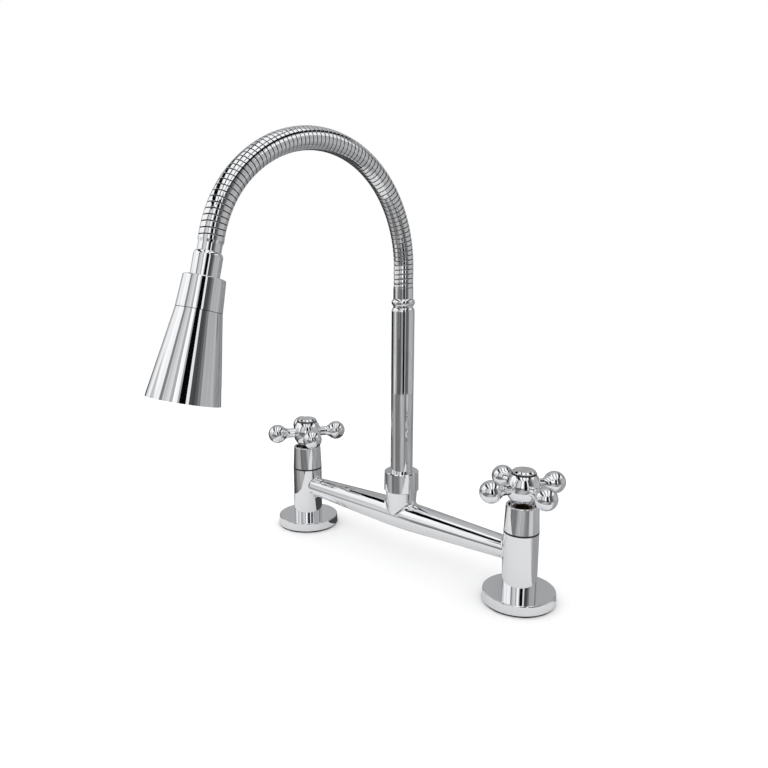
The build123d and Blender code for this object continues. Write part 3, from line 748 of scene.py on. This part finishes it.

# %% [markdown]
# The frame bends the hose at six hinges. So the strip is cut into six pieces, each from the middle
# of one section to the middle of another, with one hinge inside each piece.

# %% Cut the strip into pieces
sections = 7
section_length = hose_length / sections
bend_reach = 13.5 * MM  # so far to each side of its hinge
edge_angle = radians(25)  # steeper edges than this stay crisp


def cut_column(distance):
    return round(distance / pitch * points_round)


cuts = [cut_column((bend + 0.5) * section_length) for bend in range(1, sections - 1)]
cuts = [-points_round] + cuts + [turns * points_round]
for bend in range(1, sections):
    first, last = cuts[bend - 1], cuts[bend]
    winding = lambda build: wind_piece(build, first, last)
    piece = make_object(f"hose_strip_{bend}", winding, hose_chrome)
    piece.data.materials.append(dark_seam)
    piece.data.set_sharp_from_angle(angle=edge_angle)
    low, _ = hose_at(bend * section_length - bend_reach)
    high, _ = hose_at(bend * section_length + bend_reach)
    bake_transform(piece)
    stands_for = [f"hose_casing_{bend}"] + (["hose_casing_7"] if bend == sections - 1 else [])
    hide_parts(*stands_for)
print("hose wound in", sections - 1, "pieces and", turns, "turns")

# %% [markdown]
# ## Seals and painted shade in the seams
#
# Where two polished covers meet, a thin black ring sits in the seam: between pillar and skirt,
# under each index cap, and between the collar and the cone of the head. It is partly a seal that
# keeps water out and partly painted shade, a dark thing set into the gap where shade falls. From
# outside it is only a crisp dark line. A thin tube of one thickness would do for a seam seen from
# afar. Close by, the pressed edge of the rubber shows, so each ring is an outline spun round an
# axis, like clay on a wheel. The matrix that sets the ring into its place can tilt it as well,
# which the ring of the head needs.

# %% Make the helpers for spun rings
ring_edge_angle = radians(30)


def spin(build, outline, place, steps=96):
    columns = []
    for step in range(steps):
        turn = 2 * pi * step / steps
        points = [(radius * cos(turn), radius * sin(turn), height) for radius, height in outline]
        columns.append([build.verts.new(place @ Vector(point)) for point in points])
    for before, after in zip(columns, columns[1:] + columns[:1]):
        for low in range(len(outline)):
            high = (low + 1) % len(outline)
            build.faces.new((before[low], after[low], after[high], before[high])).smooth = True


def along_head(distance):
    point, _ = hose_at(hose_length + distance)
    tip, _ = hose_at(hose_length + distance + MM)
    return Matrix.Translation(point) @ (tip - point).to_track_quat("Z", "Y").to_matrix().to_4x4()


print("spinning helpers ready")

# %% [markdown]
# The rings of the pillars and caps are pressed out of their seams a little, over the edges of the
# chrome. The ring of the head lies back in its gap and is thinner than it, because the cone beside
# it twists and must not rub. Each outline is a list of pairs, a radius and a height, and height
# zero is one side of the seam. A rounded outline would be truer still, but at this size nobody
# sees it.

# %% Draw the outlines of the seals
skirt_gap = 0.7 * MM
skirt_seal_bore = 10.3 * MM
skirt_seal_radius = 11.4 * MM
skirt_lip = 0.28 * MM
skirt_lip_radius = 11.6 * MM
skirt_outline = (
    (skirt_seal_bore, 0),
    (skirt_seal_radius, 0),
    (skirt_lip_radius, -skirt_lip),
    (skirt_lip_radius, skirt_gap + skirt_lip),
    (skirt_seal_radius, skirt_gap),
    (skirt_seal_bore, skirt_gap),
)
cap_gap = 0.3 * MM
cap_seal_bore = 5.3 * MM
cap_seal_foot = 8.1 * MM
cap_seal_top = 8.05 * MM
cap_lip = 1.0 * MM
cap_edge = 7.7 * MM  # radius of the index cap
cap_outline = (
    (cap_seal_bore, 0),
    (cap_seal_foot, 0),
    (cap_seal_top, cap_lip),
    (cap_edge, cap_lip),
    (cap_edge, cap_gap),
    (cap_seal_bore, cap_gap),
)
seam_height = 0.2 * MM
seam_bore = 9.5 * MM
seam_radius = 11.9 * MM
seam_outline = (
    (seam_bore, 0),
    (seam_radius, 0),
    (seam_radius, seam_height),
    (seam_bore, seam_height),
)
print("seal outlines", len(skirt_outline), len(cap_outline), len(seam_outline), "corners")

# %% [markdown]
# Each ring belongs to the body whose chrome carries it. The rings of the skirts stand still with
# the pillars, the rings of the caps turn with the handles, and the ring of the collar goes with
# the head. All five come from one recipe, so they can't drift apart in finish or sharpness.

# %% Spin the seals
pillar_reach = 101.6 * MM  # from the riser to each pillar
pillars = {"hot": -pillar_reach, "cold": pillar_reach}
pillar_top = 48.6 * MM
hub_top = 87.6 * MM
seam_place = 36.9 * MM  # from the end of the hose


# each black ring is partly a seal and partly painted shade of the gap in its seam
def seal_and_shade_ring(name, body, outline, place):
    seal = make_object(name, lambda build: spin(build, outline, place), rubber)
    seal.data.set_sharp_from_angle(angle=ring_edge_angle)
    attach(seal, body)


for name, pillar_x in pillars.items():
    foot = Matrix.Translation((pillar_x, 0, pillar_top))
    seal_and_shade_ring(f"{name}_skirt_seal_and_shade", "base", skirt_outline, foot)
    hub = Matrix.Translation((pillar_x, 0, hub_top))
    seal_and_shade_ring(f"{name}_cap_seal_and_shade", f"{name}_valve", cap_outline, hub)
seal_and_shade_ring("head_seam_seal_and_shade", "head", seam_outline, along_head(seam_place))
print("seals in five seams")

# %% [markdown]
# ## Threads on the tails
#
# Under the deck each tail carries a pipe thread for the back nut and the supply hose. From the
# drawing it comes as a plain bar. A real thread is one groove that climbs 1.814 millimetres with
# each turn. A row of plain rings would look much the same, but a nut could never climb them. So we
# build the true ridge: a low triangle carried round the bar on a helix, once between the deck
# washer and the deck, and once on the free end under the nut.

# %% Cut the threads
thread_pitch = 1.814 * MM
thread_radius = 10.4775 * MM
thread_rise = 0.35 * MM
thread_root = 0.05 * MM  # so deep the ridge stands in the bar
thread_steps = 48  # in each turn
free_end = (-53.0 * MM, -42.0 * MM)  # lower and upper end of each stretch of thread
below_deck = (-29.8 * MM, -0.2 * MM)
crest_share = 0.1  # the flat top, as a share of the whole ridge


def climb_round(build, pillar_x, low, high):
    reach = thread_pitch / 2
    crest = crest_share * reach
    lower_half = ((-reach, -thread_root), (-crest, thread_rise))
    upper_half = ((crest, thread_rise), (reach, -thread_root))
    corners = lower_half + upper_half
    before = None
    for step in range(round((high - low) / thread_pitch * thread_steps) + 1):
        turn = 2 * pi * step / thread_steps
        height = low + thread_pitch * step / thread_steps
        points = []
        for up, out in corners:
            radius = thread_radius + out
            x = pillar_x + radius * cos(turn)
            z = min(max(height + up, low), high)
            points.append(build.verts.new((x, radius * sin(turn), z)))
        if before:
            for first in range(len(corners) - 1):
                second = first + 1
                build.faces.new((before[first], points[first], points[second], before[second]))
        before = points


for name, pillar_x in pillars.items():
    for number, (low, high) in enumerate((free_end, below_deck), start=1):
        climbing = lambda build: climb_round(build, pillar_x, low, high)
        ridge = make_object(f"{name}_thread_{number}", climbing, cast_chrome)
        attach(ridge, "base")
print("threads on both tails")

# %% [markdown]
# ## Nozzle tips
#
# The plate of the spray head has a ring of holes. Each real one ends in a small soft tip, which
# can be rubbed clean of lime. Every tip is a short cone with a hole, spun round the line of its
# own jet. All of them are drawn into one mesh, because they are one piece of rubbery plastic on
# the real head too, and one object is easier to keep in place than fourteen.

# %% Set the nozzle tips
plate_front = 84.5 * MM  # from the end of the hose
tip_circle = 12.6 * MM
tip_count = 14
tip_steps = 24
tip_height = 0.8 * MM
tip_hole = 0.8 * MM
tip_foot = 1.5 * MM
tip_end = 1.15 * MM
tip_outline = ((tip_hole, 0), (tip_foot, 0), (tip_end, tip_height), (tip_hole, tip_height))


def set_tips(build):
    for number in range(tip_count):
        turn = Matrix.Rotation(2 * pi * number / tip_count, 4, "Z")
        place = along_head(plate_front) @ turn @ Matrix.Translation((tip_circle, 0, 0))
        spin(build, tip_outline, place, steps=tip_steps)


tips = make_object("nozzle_tips", set_tips, grey_plastic)
tips.data.set_sharp_from_angle(angle=ring_edge_angle)
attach(tips, "cone")
print("nozzle tips", tip_count)
